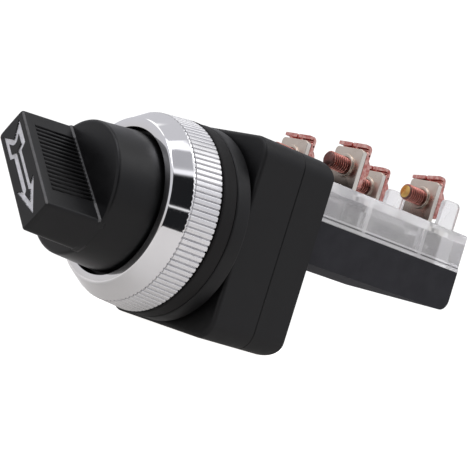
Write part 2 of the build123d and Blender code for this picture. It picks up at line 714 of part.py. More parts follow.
def slider():
    tip = plunger_tip_y()
    pin = rod(0, PORT_Z, PIN_R, tip + PIN_R, CARRIER_FRONT)
    pin = pin + Pos(0, tip + PIN_R, PORT_Z) * Sphere(PIN_R)
    carrier = block(-CARRIER_HALF, CARRIER_HALF, CARRIER_FRONT, CARRIER_REAR, CARRIER_LOW, CARRIER_TOP)
    carrier = chamfer(carrier.edges().filter_by(Axis.Y), BODY_SEAM)
    low = CONTACT_Z - WINDOW_HALF_Z
    top = CONTACT_Z + WINDOW_HALF_Z
    nc_front = nc_strip_front()
    no_rear = no_strip_rear()
    wide = 2 * CARRIER_HALF
    carrier = carrier - block(-wide, wide, nc_front, nc_front + WINDOW_LENGTH, low, top)
    carrier = carrier - block(-wide, wide, no_rear - WINDOW_LENGTH, no_rear, low, top)
    boss = rod(0, PORT_Z, SPRING_BOSS_R, CARRIER_REAR, CARRIER_REAR + SPRING_BOSS_H)
    return pin + carrier + boss


def coil(radius, wire, turns, y0, y1, z):
    """A compression spring along Y between two seats."""
    length = y1 - y0 - wire
    path = Helix(pitch=length / turns, height=length, radius=radius)
    section = Plane(origin=path @ 0, z_dir=path % 0) * Circle(wire / 2)
    spring = sweep(section, path=path, is_frenet=True)
    return Pos(0, y1 - wire / 2, z) * Rot(90, 0, 0) * spring


def nc_spring():
    front = nc_strip_front()
    return coil(CONTACT_SPRING_R, CONTACT_WIRE, CONTACT_TURNS, front + BRIDGE_T, front + WINDOW_LENGTH, CONTACT_Z)


def no_spring():
    rear = no_strip_rear()
    return coil(CONTACT_SPRING_R, CONTACT_WIRE, CONTACT_TURNS, rear - WINDOW_LENGTH, rear - BRIDGE_T, CONTACT_Z)


def return_spring():
    return coil(RETURN_SPRING_R, RETURN_WIRE, RETURN_TURNS, CARRIER_REAR, BLOCK_WALL_REAR, PORT_Z)


def cam_screw():
    seat = CAM_REAR + CAM_WASHER_T
    return screw(0, 0, M3_R, M3_HEAD_R, CAM_SCREW_HEAD, CAM_SCREW_TIP, seat)


def build():
    os.makedirs("parts", exist_ok=True)
    nodes = {
        "front_housing": front_housing(),
        "rear_housing": rear_housing(),
        "housing_screws": housing_screws(),
        "gasket": gasket(),
        "spacer_ring": spacer_ring(),
        "locking_ring": locking_ring(),
        "knob": knob(),
        "knob_seal": knob_seal(),
        "spindle": spindle(),
        "thrust_washer": washer_disc(THRUST_R, SPINDLE_R + RUN_GAP, WEB_REAR, THRUST_REAR),
        "cam": cam(),
        "cam_washer": washer_disc(CAM_WASHER_R, M3_HOLE_R, CAM_REAR, CAM_REAR + CAM_WASHER_T),
        "cam_screw": cam_screw(),
        "detent_spring": detent_spring(),
        "block_base": block_base(),
        "block_cover": block_cover(),
        "block_screws": block_screws(),
        "slider": slider(),
        "nc_bridge": nc_bridge(),
        "no_bridge": no_bridge(),
        "nc_spring": nc_spring(),
        "no_spring": no_spring(),
        "return_spring": return_spring(),
        "fixed_contacts": fixed_contacts(),
    }
    rows = (("front", FRONT_ROW, FRONT_LEG), ("rear", REAR_ROW, REAR_LEG))
    for row_name, row, leg in rows:
        for side_name, x in (("left", -COLUMN_X), ("right", COLUMN_X)):
            place = row_name + "_" + side_name
            nodes["terminal_" + place] = terminal(x, row, leg)
            nodes["terminal_screw_" + place] = terminal_screw(x, row)
            turn = WASHER_TURN if place == "rear_right" else 0
            nodes["clamp_washer_" + place] = clamp_washer(x, row, turn)
    for name, shape in nodes.items():
        export_step(shape, "parts/" + name + ".step")
        print(name, "solids", len(shape.solids()), "volume", round(shape.volume, 1))


build()
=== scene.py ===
"""Selector switch, dressed for rendering over its CAD frame.

Lengths inside the functions are millimetres, and put_mesh turns them into metres. Lengths in shaders and lights, and
the sizes that a user would change, are metres. A line is (radius, y) pairs. A grid is rows by columns of points, and
skin makes it a closed surface.
"""

import bmesh
import bpy
import numpy as np
from bpy.props import FloatProperty, FloatVectorProperty, IntProperty, PointerProperty
from mathutils import Matrix, Vector


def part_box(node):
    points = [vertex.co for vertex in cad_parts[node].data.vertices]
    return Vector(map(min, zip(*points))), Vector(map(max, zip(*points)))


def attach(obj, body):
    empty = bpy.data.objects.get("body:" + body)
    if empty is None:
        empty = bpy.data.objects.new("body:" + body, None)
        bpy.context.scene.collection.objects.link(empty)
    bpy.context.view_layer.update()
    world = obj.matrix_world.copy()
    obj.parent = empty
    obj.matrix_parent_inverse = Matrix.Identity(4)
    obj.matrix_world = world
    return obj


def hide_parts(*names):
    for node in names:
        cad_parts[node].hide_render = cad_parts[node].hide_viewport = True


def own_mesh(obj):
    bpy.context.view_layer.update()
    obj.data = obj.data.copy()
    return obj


bl_info = {
    "name": "Selector switch",
    "version": (1, 0, 0),
    "blender": (4, 5, 0),
    "location": "3D View > Sidebar > Switch",
    "description": "Dresses the selector switch and lights it",
    "category": "Object",
}

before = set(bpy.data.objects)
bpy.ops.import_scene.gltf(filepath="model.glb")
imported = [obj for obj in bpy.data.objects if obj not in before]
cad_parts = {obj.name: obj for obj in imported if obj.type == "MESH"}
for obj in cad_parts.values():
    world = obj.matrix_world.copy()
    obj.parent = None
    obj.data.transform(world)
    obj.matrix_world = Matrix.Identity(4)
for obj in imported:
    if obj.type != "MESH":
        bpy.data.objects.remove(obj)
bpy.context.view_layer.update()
MM = 0.001

# Each terminal's name, the X of its middle and the Y of its front face. Then the height of the screws' axes, half a
# washer's side, the height of a screw's head and the terminals' thickness.
TERMINALS = [(row + "_" + side, x, y) for row, y in (("front", 35.6), ("rear", 59.6)) for side, x in
             (("left", -8.5), ("right", 8.5))]
SCREW_Z, WASHER_HALF, HEAD_HEIGHT, STRIP = 21.7, 4.0, 2.2, 1.2

# The knob. Depth is measured forward from the panel seat. The bar's ends and half its width are those of its front
# face, and over BAR_DROP behind it they grow by the whole amounts in grip_outline. In the photograph the far side of
# that face reaches FAR_SIDE further out, and the arrow lies ARROW_SHIFT towards it. The skirt's rim and face are
# (radius, depth) pairs.
REST_ANGLE = np.radians(41.3)
BAR_FRONT, BAR_DROP = 31.2, 13.0
BAR_TAIL, BAR_TIP, BAR_HALF = -12.0, 11.5, 3.42
FAR_SIDE, ARROW_SHIFT = 0.8, 0.6
RIB_PITCH, RIB_START = 1.04, -8.45
SKIRT_RIM, SKIRT_FACE = (13.7, 10.5), (12.9, 19.9)

# The cover's painted light and shade, in metres: the heights between which it runs, its two inner ribs' places along
# the cover, where it paints highlights, and its tone at each part of the height, from the lip over the thin side up to
# the thick top.
COVER_LOW, COVER_HIGH = 0.0088, 0.0170
COVER_RIBS = (0.0406, 0.0581)
COVER_LIGHT_AND_SHADE = ((0.0, 0.7), (0.03, 1.0), (0.085, 1.0), (0.1, 0.4), (0.125, 0.4), (0.14, 1.0), (0.17, 1.0), (0.19, 0.74),
               (0.74, 0.74), (0.78, 0.96), (0.95, 0.93), (0.99, 0.8))

# The camera, fitted to the photograph: azimuth, elevation and roll in degrees, how far it stands to the right of,
# above and behind the aim, its focal length and the picture's side in pixels, and its sensor's width.
CAMERA_TURN = (50.0328, -2.59998, 17.3287)
CAMERA_OFFSET = (9.6332, -1.9791, 284.6797)
CAMERA_AIM = (0, 7.6, 0)
FOCAL_LENGTH, PICTURE_SIDE, SENSOR = 1457.8585, 470, 36.0


def smooth(low, high, x):
    """Zero below low, one above high, and an S-curve between."""
    w = np.clip((x - low) / (high - low), 0.0, 1.0)
    return w * w * (3.0 - 2.0 * w)


def put_mesh(name, shells, material, creased=None):
    """One mesh object from shells in millimetres, its doubles merged and its faces turned outwards."""
    points, quads, fans = join(shells)
    corners = np.concatenate([quads.ravel(), fans.ravel()]).astype(np.int32)
    starts = np.concatenate([np.arange(len(quads)) * 4, len(quads) * 4 + np.arange(len(fans)) * 3]).astype(np.int32)
    mesh = bpy.data.meshes.new(name)
    mesh.vertices.add(len(points))
    mesh.vertices.foreach_set("co", (points * MM).ravel())
    mesh.loops.add(len(corners))
    mesh.loops.foreach_set("vertex_index", corners)
    mesh.polygons.add(len(starts))
    mesh.polygons.foreach_set("loop_start", starts)
    mesh.update(calc_edges=True)
    work = bmesh.new()
    work.from_mesh(mesh)
    bmesh.ops.remove_doubles(work, verts=work.verts, dist=1e-7)
    bmesh.ops.dissolve_degenerate(work, edges=work.edges, dist=1e-8)
    bmesh.ops.recalc_face_normals(work, faces=work.faces)
    work.to_mesh(mesh)
    work.free()
    mesh.materials.append(material)
    mesh.polygons.foreach_set("use_smooth", np.ones(len(mesh.polygons), dtype=bool))
    if creased is not None:
        mesh.set_sharp_from_angle(angle=np.radians(creased))
    piece = bpy.data.objects.new(name, mesh)
    bpy.context.collection.objects.link(piece)
    return piece


def skin(grid, start="cap", end="cap"):
    """A shell from a grid whose columns wrap round. Each end is capped at its middle or open, or the rows wrap too."""
    rows, cols = grid.shape[:2]
    i = np.arange(rows if start == "wrap" else rows - 1)[:, None]
    j = np.arange(cols)[None, :]
    below, above, beside = i % rows * cols, (i + 1) % rows * cols, (j + 1) % cols
    quads = np.stack(np.broadcast_arrays(below + j, below + beside, above + beside, above + j), -1).reshape(-1, 4)
    points, fans = grid.reshape(-1, 3), [np.zeros((0, 3), int)]
    for place, row in ((start, 0), (end, rows - 1)):
        if place == "cap":
            k = row * cols + np.arange(cols)
            fans.append(np.stack([k, np.roll(k, -1), np.full(cols, len(points))], -1))
            points = np.vstack([points, grid[row].mean(0)])
    return points, quads, np.vstack(fans)


def join(shells):
    """Several shells as one set of points, of four-sided faces and of three-sided faces."""
    start = np.cumsum([0] + [len(points) for points, _, _ in shells[:-1]])
    quads = np.vstack([shell[1] + n for shell, n in zip(shells, start)])
    fans = np.vstack([shell[2] + n for shell, n in zip(shells, start)])
    return np.vstack([shell[0] for shell in shells]), quads, fans


def rounded_line(corners, radii, steps):
    """A line of (radius, y) pairs through corners. A parabola rounds each inner corner: it starts and ends its radius
    away along the two sides, and weighs its start by (1-w)^2, the corner by 2w(1-w) and its end by w^2."""
    corners = np.asarray(corners, float)
    w = np.linspace(0, 1, steps)[:, None]
    out = [corners[:1]]
    for before, here, after, r in zip(corners, corners[1:], corners[2:], radii):
        back, ahead = before - here, after - here
        first = here + back / np.linalg.norm(back) * r
        second = here + ahead / np.linalg.norm(ahead) * r
        out.append((1 - w) ** 2 * first + 2 * w * (1 - w) * here + w**2 * second)
    return np.vstack(out + [corners[-1:]])


def around_axis(r, y, angle, x=0.0, z=0.0):
    """Points round an axis along Y at (x, z): x plus r times the angle's cosine, y, and z plus r times its sine."""
    return np.stack([x + r * np.cos(angle), y + 0 * angle, z + r * np.sin(angle)], -1)


def turned_grid(line, columns, x=0.0, z=0.0):
    """A line of (radius, y) pairs carried round an axis along Y at (x, z)."""
    return around_axis(line[:, :1], line[:, 1:], np.arange(columns) * 2 * np.pi / columns, x, z)


def rounded_block_grid(low, high, r, steps=5):
    """A block with rounded edges: a ball of radius r whose eight quarters are pulled apart to the corners."""
    low, high = np.asarray(low, float), np.asarray(high, float)
    mid, half = (low + high) / 2, (high - low) / 2
    turn = np.concatenate([np.linspace(q, q + 90, steps) for q in (0, 90, 180, 270)])
    rise = np.concatenate([np.linspace(-90, 0, steps), np.linspace(0, 90, steps)])
    sign_x = np.repeat([1, -1, -1, 1], steps)
    sign_y = np.repeat([1, 1, -1, -1], steps)
    sign_z = np.repeat([-1, 1], steps)
    turn, rise = np.radians(turn)[None, :], np.radians(rise)[:, None]
    ball = np.stack([np.cos(rise) * np.cos(turn), np.cos(rise) * np.sin(turn), np.sin(rise) + 0 * turn], -1)
    sign = np.stack(np.broadcast_arrays(sign_x[None, :], sign_y[None, :], sign_z[:, None]), -1)
    return mid + sign * (half - r) + ball * r


def add_node(tree, kind, sockets=(), **settings):
    """A shader node with its settings made. A socket is linked to what it is given where that is a socket, else set."""
    node = tree.nodes.new("ShaderNode" + kind)
    for key, value in settings.items():
        setattr(node, key, value)
    for key, value in dict(sockets).items():
        if isinstance(value, bpy.types.NodeSocket):
            tree.links.new(value, node.inputs[key])
        else:
            node.inputs[key].default_value = value
    return node


def mix_colours(tree, factor, a, b, **settings):
    """A mix of two colours: the first where the factor is zero, the second where it is one."""
    return add_node(tree, "Mix", {"Factor": factor, "A": a, "B": b}, data_type="RGBA", **settings).outputs["Result"]


def soft_band(tree, value, middle, inner, outer, most=1.0):
    """A mask that is at its most where a value lies within inner of the middle, and falls to zero at outer."""
    away = add_node(tree, "Math", {0: value, 1: middle}, operation="SUBTRACT")
    size = add_node(tree, "Math", {0: away.outputs[0]}, operation="ABSOLUTE")
    edge = add_node(tree, "MapRange", {"Value": size.outputs[0], "From Min": inner, "From Max": outer, "To Min": most,
                                       "To Max": 0.0}, interpolation_type="SMOOTHSTEP")
    return edge.outputs[0]


def tone_ramp(tree, value, stops):
    """A colour ramp over a value. Each stop is a place from zero to one and a colour."""
    ramp = add_node(tree, "ValToRGB", {"Fac": value})
    elements = ramp.color_ramp.elements
    for k, (at, tone) in enumerate(stops):
        stop = elements[k] if k < 2 else elements.new(at)
        stop.position, stop.color = at, (*tone, 1)
    return ramp.outputs["Color"]


def node_of(tree, kind):
    """The tree's one node of a kind."""
    return next(node for node in tree.nodes if node.type == kind)


def new_group(name, inputs, outputs):
    """An empty shader node group with named sockets, and its input and output nodes."""
    group = bpy.data.node_groups.new(name, "ShaderNodeTree")
    for label, kind, value in inputs:
        group.interface.new_socket(label, in_out="INPUT", socket_type=kind).default_value = value
    for label, kind in outputs:
        group.interface.new_socket(label, in_out="OUTPUT", socket_type=kind)
    return group, group.nodes.new("NodeGroupInput"), group.nodes.new("NodeGroupOutput")


def mottle_group():
    """Soft cloudy change of colour and gloss: noise, stretched to run from zero to one, mixes two of each."""
    group, into, out = new_group(
        "Mottle",
        [("Vector", "NodeSocketVector", (0, 0, 0)), ("Size", "NodeSocketFloat", 300.0),
         ("Colour A", "NodeSocketColor", (0.02, 0.02, 0.02, 1)), ("Colour B", "NodeSocketColor", (0.03, 0.03, 0.03, 1)),
         ("Gloss A", "NodeSocketFloat", 0.4), ("Gloss B", "NodeSocketFloat", 0.5)],
        [("Colour", "NodeSocketColor"), ("Roughness", "NodeSocketFloat")])
    given = into.outputs
    cloud = add_node(group, "TexNoise", {"Vector": given["Vector"], "Scale": given["Size"], "Detail": 4.0})
    mask = add_node(group, "MapRange", {"Value": cloud.outputs["Fac"], "From Min": 0.35, "From Max": 0.65}).outputs[0]
    gloss = add_node(group, "Mix", {"Factor": mask, "A": given["Gloss A"], "B": given["Gloss B"]})
    group.links.new(mix_colours(group, mask, given["Colour A"], given["Colour B"]), out.inputs["Colour"])
    group.links.new(gloss.outputs["Result"], out.inputs["Roughness"])
    return group


def grain_group():
    """The fine skin of a moulding or of drawn metal: noise stretched along one axis, put out as a height."""
    group, into, out = new_group(
        "Grain",
        [("Vector", "NodeSocketVector", (0, 0, 0)), ("Size", "NodeSocketFloat", 3000.0),
         ("Stretch", "NodeSocketVector", (1, 1, 1))],
        [("Height", "NodeSocketFloat")])
    given = into.outputs
    place = add_node(group, "VectorMath", {0: given["Vector"], 1: given["Stretch"]}, operation="MULTIPLY")
    noise = add_node(group, "TexNoise", {"Vector": place.outputs[0], "Scale": given["Size"], "Detail": 2.0})
    group.links.new(noise.outputs["Fac"], out.inputs["Height"])
    return group


def darken_below(tree, place, colour, low, high, tone):
    """Brings a colour to a tone below a height, softly between low and high, in metres along the object's Z."""
    height = add_node(tree, "SeparateXYZ", {0: place}).outputs["Z"]
    rise = add_node(tree, "MapRange", {"Value": height, "From Min": low, "From Max": high},
                    interpolation_type="SMOOTHSTEP")
    return mix_colours(tree, rise.outputs[0], (*tone, 1), colour)


def finish_material(name, tone_a, tone_b, gloss, patch=300.0, grain=3000.0, relief=0.02, stretch=(1, 1, 1), metal=0.0,
                    low_tone=None, **sockets):
    """A material whose colour, gloss and fine relief vary over the surface. What is the same all over it is set on the
    shader's own sockets. Patch and grain are counts to the metre, and relief is the grain's height in millimetres."""
    material = bpy.data.materials.new(name)
    material.use_nodes = True
    material.diffuse_color = (*tone_a, 1)
    tree = material.node_tree
    tree.nodes.clear()
    place = add_node(tree, "TexCoord").outputs["Object"]
    mottle = add_node(
        tree, "Group", {"Vector": place, "Size": patch, "Colour A": (*tone_a, 1), "Colour B": (*tone_b, 1),
                        "Gloss A": gloss[0], "Gloss B": gloss[1]},
        node_tree=bpy.data.node_groups.get("Mottle") or mottle_group())
    fine = add_node(tree, "Group", {"Vector": place, "Size": grain, "Stretch": stretch},
                    node_tree=bpy.data.node_groups.get("Grain") or grain_group())
    bump = add_node(tree, "Bump", {"Height": fine.outputs["Height"], "Strength": 1.0, "Distance": relief * MM})
    colour = mottle.outputs["Colour"]
    if low_tone:
        colour = darken_below(tree, place, colour, *low_tone)
    plain_sockets = {key.replace("_", " "): value for key, value in sockets.items()}
    shader = add_node(tree, "BsdfPrincipled", {"Base Color": (*tone_a, 1), "Roughness": gloss[0], "Metallic": metal,
                                               **plain_sockets})
    tree.links.new(colour, shader.inputs["Base Color"])
    tree.links.new(mottle.outputs["Roughness"], shader.inputs["Roughness"])
    tree.links.new(bump.outputs["Normal"], shader.inputs["Normal"])
    add_node(tree, "OutputMaterial", {"Surface": shader.outputs[0]})
    return material


def paint_cover_light(tree):
    """Paints light and shade on the clear cover by height and along its length, as its lip, its thick top and its
    inner ribs look.

    The tones over the height are lifted to white in a soft band at each rib, a painted highlight, and multiply the
    cover's colour. The square of the result is the colour of a painted glow that the cover gives off."""
    shader = node_of(tree, "BSDF_PRINCIPLED")
    split = add_node(tree, "SeparateXYZ", {0: node_of(tree, "TEX_COORD").outputs["Object"]})
    height = add_node(tree, "MapRange", {"Value": split.outputs["Z"], "From Min": COVER_LOW, "From Max": COVER_HIGH})
    shade = tone_ramp(tree, height.outputs[0], [(at, (tone, tone, tone)) for at, tone in COVER_LIGHT_AND_SHADE])
    for middle in COVER_RIBS:
        rib = soft_band(tree, split.outputs["Y"], middle, 0.0004, 0.0006, most=0.85)
        shade = mix_colours(tree, rib, shade, (1, 1, 1, 1))
    base = shader.inputs["Base Color"].links[0].from_socket
    shaded = mix_colours(tree, 1.0, base, shade, blend_type="MULTIPLY")
    painted_glow = add_node(tree, "Gamma", {"Color": shaded, "Gamma": 2.0})
    tree.links.new(shaded, shader.inputs["Base Color"])
    tree.links.new(painted_glow.outputs["Color"], shader.inputs["Emission Color"])


def finishes():
    """Every finish of the switch, made once."""
    if "Body moulding" in bpy.data.materials:
        return bpy.data.materials
    style = bpy.context.scene.switch_finish
    dark = np.array(style.moulding[:])
    copper = np.array(style.copper[:])
    pale = np.array(style.clear[:])
    finish_material("Body moulding", dark, dark * 1.35, (0.42, 0.52), relief=0.012, grain=2600,
                    Specular_IOR_Level=0.38)
    finish_material("Base moulding", dark * 10, dark * 11.5, (0.6, 0.7), relief=0.012, grain=2600,
                    Specular_IOR_Level=0.02)
    finish_material("Grip moulding", dark * 0.8, dark * 1.2, (0.3, 0.4), patch=220, relief=0.006,
                    Specular_IOR_Level=0.34)
    # A lighter black that paints a highlight on the knob's lit edges.
    finish_material("Worn edge", (0.075, 0.074, 0.074), (0.115, 0.113, 0.113), (0.35, 0.5), patch=700, relief=0.01)
    finish_material("Arrow paint", (0.68, 0.68, 0.71), (0.85, 0.85, 0.88), (0.5, 0.65), patch=900, relief=0.01)
    finish_material("Seal rubber", (0.008, 0.0075, 0.0075), (0.012, 0.011, 0.011), (0.6, 0.7), relief=0.02, grain=1800,
                    Specular_IOR_Level=0.3)
    finish_material("Chrome plate", (0.9, 0.895, 0.9), (0.94, 0.935, 0.94), (0.04, 0.08), metal=1.0, relief=0.0006,
                    patch=120)
    finish_material("Chrome knurl", (0.9, 0.895, 0.905), (0.95, 0.945, 0.95), (0.24, 0.32), metal=1.0, relief=0.002)
    # A darker chrome that paints shade into the knurl's grooves.
    finish_material("Chrome valley", (0.6, 0.6, 0.62), (0.7, 0.7, 0.72), (0.3, 0.4), metal=1.0, relief=0.002)
    finish_material("Copper flash", copper, copper * (0.66, 0.36, 0.36), (0.12, 0.26), metal=1.0, patch=1100,
                    grain=1300, relief=0.03)
    # A darker copper for the screws' shanks: painted shade.
    finish_material("Copper thread", copper * (0.7, 0.5, 0.47), copper * (0.45, 0.29, 0.26), (0.2, 0.3), metal=1.0,
                    patch=900, relief=0.004)
    # A near black copper that paints shade into the thread's valleys and on the front tips.
    finish_material("Copper valley", copper * (0.22, 0.14, 0.14), copper * 0.25, (0.35, 0.45), metal=1.0, patch=900)
    # The terminal strips are darker towards the bottom.
    finish_material("Terminal strip", (0.66, 0.57, 0.49), (0.74, 0.65, 0.57), (0.24, 0.36), metal=1.0, patch=350,
                    relief=0.006, stretch=(1, 1, 0.1), low_tone=(0.0165, 0.0235, (0.13, 0.1, 0.085)))
    finish_material("Cut edge", (0.86, 0.82, 0.75), (0.94, 0.9, 0.84), (0.3, 0.4), metal=1.0, relief=0.004)
    finish_material("Brass edge", (0.75, 0.47, 0.13), (0.85, 0.58, 0.2), (0.25, 0.35), metal=1.0)
    finish_material("Zinc steel", (0.55, 0.55, 0.53), (0.68, 0.68, 0.65), (0.28, 0.4), metal=1.0)
    finish_material("Spring steel", (0.5, 0.5, 0.5), (0.62, 0.62, 0.62), (0.2, 0.3), metal=1.0, relief=0.003)
    finish_material("Contact silver", (0.78, 0.77, 0.74), (0.86, 0.85, 0.82), (0.2, 0.3), metal=1.0)
    finish_material("Carrier moulding", (0.72, 0.71, 0.7), (0.8, 0.79, 0.78), (0.4, 0.5), relief=0.01)
    # The cover's emission is a faint painted glow.
    clear = finish_material("Clear moulding", pale, np.minimum(pale * 1.05, 1), (0.14, 0.22), patch=160, relief=0.002,
                            grain=700, Transmission_Weight=0.72, IOR=1.4, Emission_Strength=0.12)
    paint_cover_light(clear.node_tree)
    return bpy.data.materials


def arrow_distance(t, s):
    """Signed distance to the pointer's outline: the least distance to its sides, negative inside."""
    # From the head's point to the notch in the tail. The other half is its mirror image.
    upper = [(10.4, 0), (3.3, 2.55), (4.3, 1.15), (-4.0, 1.15), (-4.8, 2.55), (-10.6, 2.55), (-7.6, 0)]
    lower = [(a, -b) for a, b in reversed(upper[1:-1])]
    corners = np.array(upper + lower, float) - (0, ARROW_SHIFT)
    start, stop = corners, np.roll(corners, -1, axis=0)
    p = np.stack([t, s], -1)[..., None, :]
    along = stop - start
    w = np.clip(((p - start) * along).sum(-1) / (along**2).sum(-1), 0, 1)
    gap = np.linalg.norm(p - start - w[..., None] * along, axis=-1).min(-1)
    y0, y1 = start[:, 1], stop[:, 1]
    crosses = (y0 > p[..., 1]) != (y1 > p[..., 1])
    with np.errstate(divide="ignore", invalid="ignore"):
        meet = start[:, 0] + (p[..., 1] - y0) * along[:, 0] / np.where(along[:, 1] == 0, np.nan, along[:, 1])
    inside = (crosses & (p[..., 0] < meet)).sum(-1) % 2 == 1
    return np.where(inside, -gap, gap)


def place_on_axis(t, s, depth):
    """From the grip's own directions (along, across, forward) to the switch's X, Y and Z."""
    x = t * np.cos(REST_ANGLE) + s * np.sin(REST_ANGLE)
    z = -t * np.sin(REST_ANGLE) + s * np.cos(REST_ANGLE)
    return np.stack([x, -depth, z], -1)


def skirt_radius(depth):
    """The skirt's radius: an upright rim at the rear, then a cone that narrows towards the front."""
    return np.interp(depth, [SKIRT_RIM[1], SKIRT_FACE[1], BAR_FRONT], [SKIRT_RIM[0], SKIRT_FACE[0], 11.94])


def grip_outline(depth):
    """The bar's outline at each depth: columns run round it, evenly along its sides so that every rib is alike.

    It is a rectangle with round corners. Its ends and sides move outwards in proportion to the distance behind the
    front face, and its ends bulge by a parabola. Its far side starts FAR_SIDE further out, less towards the root."""
    along, across, corner = 231, 35, 7
    down = (BAR_FRONT - np.asarray(depth, float)[:, None]) / BAR_DROP
    tail, tip = BAR_TAIL - 0.51 * down, BAR_TIP + 0.87 * down
    r, half = 0.6, BAR_HALF + 0 * down
    edge = np.linspace(0, 1, along)
    cap = np.linspace(-1, 1, across)[1:-1]
    turn = np.linspace(0, np.pi / 2, corner)[1:-1]
    pieces = [
        (tail + r + (tip - tail - 2 * r) * edge, -half + 0 * edge),
        (tip - r + r * np.sin(turn), -half + r - r * np.cos(turn)),
        (tip + 0 * cap, (half - r) * cap),
        (tip - r + r * np.cos(turn), half - r + r * np.sin(turn)),
        (tip - r - (tip - tail - 2 * r) * edge, half + 0 * edge),
        (tail + r - r * np.sin(turn), half - r + r * np.cos(turn)),
        (tail + 0 * cap, -(half - r) * cap),
        (tail + r - r * np.cos(turn), -half + r - r * np.sin(turn)),
    ]
    t, s = (np.concatenate(part, 1) for part in zip(*pieces))
    near_end = np.clip((np.abs(t) - np.where(t > 0, tip, -tail) + r) / r, 0, 1)
    bulge = 0.05 + np.where(t > 0, 0.625, 0.485) * down
    t = t + np.sign(t) * near_end * bulge * (1 - (s / half) ** 2)
    near_tip = np.clip((t - BAR_TAIL) / (BAR_TIP - BAR_TAIL), 0, 1)
    wider = (0.28 + 0.45 * near_tip) * down + (s < 0) * FAR_SIDE * (1 - 0.6 * down)
    return t, s * (1 + wider / half)


def rib_relief(t, s, depth):
    """Sixteen grooves across each side of the bar: the crests of a cosine along it, cut off softly. They end a little
    short of the front face, and squarely at the root."""
    groove = smooth(-0.35, 0.6, np.cos(2 * np.pi * (t - RIB_START) / RIB_PITCH))
    along = smooth(-9.02, -8.94, t) * (1 - smooth(7.62, 7.7, t))
    down = (1 - smooth(28.9, 29.15, depth)) * smooth(20.2, 20.4, depth)
    return bpy.context.scene.switch_sizes.rib_depth / MM * groove * along * down * (np.abs(s) > 2.8)


def grip_grid():
    """The bar from its front face's middle line out over the bevel, down its sides and over the bead at its root.

    The face runs straight from the middle line to the bevel's inner edge, with the arrow's line sunk into it. The bevel
    is a quarter circle. Near the root the sides step out to a bead, and are held within the skirt."""
    bevel, sunk, root = 0.48, 0.3, 20.36
    w = np.linspace(0, 1, 34)[:, None]
    t1, s1 = grip_outline([BAR_FRONT])
    middle_t = np.clip(t1, BAR_TAIL + BAR_HALF, BAR_TIP - BAR_HALF)
    inner_t = t1 - np.sign(t1) * bevel * smooth(0.9, 1.0, np.abs(t1) / -BAR_TAIL)
    inner_s = s1 * (1 - bevel / BAR_HALF)
    face_t, face_s = middle_t + w * (inner_t - middle_t), w * inner_s
    gap = arrow_distance(face_t, face_s)
    line = bpy.context.scene.switch_sizes.arrow_line / MM
    face_d = BAR_FRONT - sunk * (1 - smooth(-0.06, 0.06, gap)) * smooth(-line - 0.06, -line + 0.06, gap)
    a = np.linspace(0, np.pi / 2, 7)[1:][:, None]
    bevel_t, bevel_s = inner_t + (t1 - inner_t) * np.sin(a), inner_s + (s1 - inner_s) * np.sin(a)
    bevel_d = np.broadcast_to(BAR_FRONT - bevel * (1 - np.cos(a)), bevel_t.shape)
    depth = np.concatenate([np.linspace(30.4, 29.3, 4), np.linspace(29.2, 28.8, 6), np.linspace(28.2, 20.9, 13),
                            [20.6, 20.44, 20.38, 20.33, 20.28, 20.2, 20.1, 20.0, 19.93, 19.88, 19.8, 19.4, 18.9]])
    side_t, side_s = grip_outline(depth)
    depth = np.broadcast_to(depth[:, None], side_t.shape)
    side_s = side_s - np.sign(side_s) * rib_relief(side_t, side_s, depth)
    bead = smooth(2.6, 3.2, np.abs(side_s)) * 0.27 * np.clip((20.35 - depth) / 0.3, 0, 1)
    side_s = side_s + np.sign(side_s) * bead
    held = np.minimum(1, (skirt_radius(depth) + 0.02) / np.hypot(side_t, side_s))
    held = np.where(depth < root, held, 1)
    parts = ((face_t, bevel_t, side_t * held), (face_s, bevel_s, side_s * held), (face_d, bevel_d, depth))
    return [np.concatenate(part) for part in parts]


def skirt_grid():
    """The skirt and the hub behind it, turned: a nearly flat front, a rounded rim, a cone, and the seal's groove."""
    line = rounded_line([(0.3, 20.05), SKIRT_FACE, SKIRT_RIM, (13.7, 8.8), (11.9, 8.8), (11.9, 4.4), (10.2, 4.4),
                         (10.2, 2.0), (11.9, 2.0), (11.9, -3.0), (0.3, -3.0)],
                        [0.8, 0.6, 0.3, 0.1, 0.1, 0.1, 0.1, 0.1, 0.4], 9)
    return turned_grid(line * (1, -1), 240)


def build_grip():
    """The operating knob: skirt and bar as two closed shells, with the arrow's line painted."""
    material = finishes()
    bar = skin(place_on_axis(*grip_grid()), "open", "cap")
    piece = put_mesh("grip_knob", [bar, skin(skirt_grid())], material["Grip moulding"])
    paint_arrow(piece)
    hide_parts("knob")
    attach(piece, "operator")


def face_middles(piece):
    """The middles of a piece's faces, in millimetres, as X, Y and Z."""
    middle = np.empty(len(piece.data.polygons) * 3)
    piece.data.polygons.foreach_get("center", middle)
    return (middle.reshape(-1, 3) / MM).T


def paint_faces(piece, chosen, material):
    """Gives some of a piece's faces one more finish."""
    index = np.zeros(len(chosen), dtype=np.int32)
    piece.data.polygons.foreach_get("material_index", index)
    index[chosen] = len(piece.data.materials)
    piece.data.materials.append(material)
    piece.data.polygons.foreach_set("material_index", index)


def paint_arrow(piece):
    """Gives the faces at the bottom of the arrow's groove the paint, and the near side's edges a painted highlight."""
    x, y, z = face_middles(piece)
    depth = -y
    t = x * np.cos(REST_ANGLE) - z * np.sin(REST_ANGLE)
    s = x * np.sin(REST_ANGLE) + z * np.cos(REST_ANGLE)
    gap = arrow_distance(t, s)
    line = bpy.context.scene.switch_sizes.arrow_line / MM
    painted = (depth > 30.6) & (gap < -0.02) & (gap > 0.02 - line)
    paint_faces(piece, painted, finishes()["Arrow paint"])
    # The bevel and the bead's ends on the lit near side get a painted highlight.
    bevel = (depth < 31.17) & (depth > 30.9) & (s > 3.05) & (np.abs(t) < 11.3)
    bead_ends = (depth < 20.42) & (depth > 20.0) & (s > 3.3) & ((t < -8.9) | (t > 8.0)) & (np.abs(t) < 12.2)
    paint_faces(piece, bevel | bead_ends, finishes()["Worn edge"])


